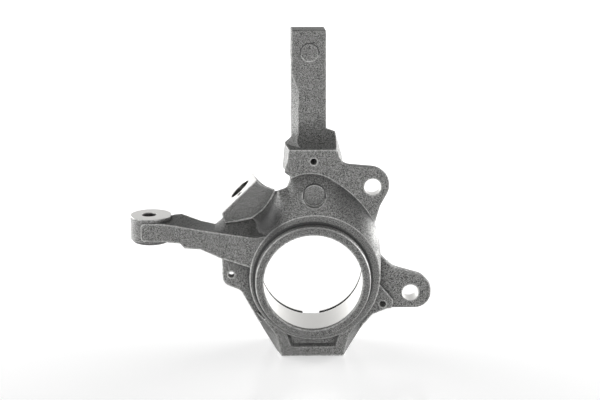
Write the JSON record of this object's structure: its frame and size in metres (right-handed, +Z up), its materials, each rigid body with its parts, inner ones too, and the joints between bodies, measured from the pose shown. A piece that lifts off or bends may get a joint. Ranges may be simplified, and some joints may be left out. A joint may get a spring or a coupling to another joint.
{
  "type": "steering knuckle",
  "caption": "Cast front steering knuckle for a strut axle: round hub bearing housing with strut bar, steering arm, caliper ears, speed sensor boss and a flat ball joint block.",
  "frame": {"origin": "on the wheel axis, in the middle of the bearing seat", "axes": "+Y along the wheel axis, inboard; +X towards the caliper ears; +Z up along the strut bar"},
  "size_m": [0.2268, 0.082, 0.241],
  "materials": {
    "cast_iron": "shot-blasted as cast, machined at the bearing seat, sensor face and ball stud boss"
  },
  "bodies": {
    "root": {"knuckle": "cast_iron"}
  },
  "joints": []
}
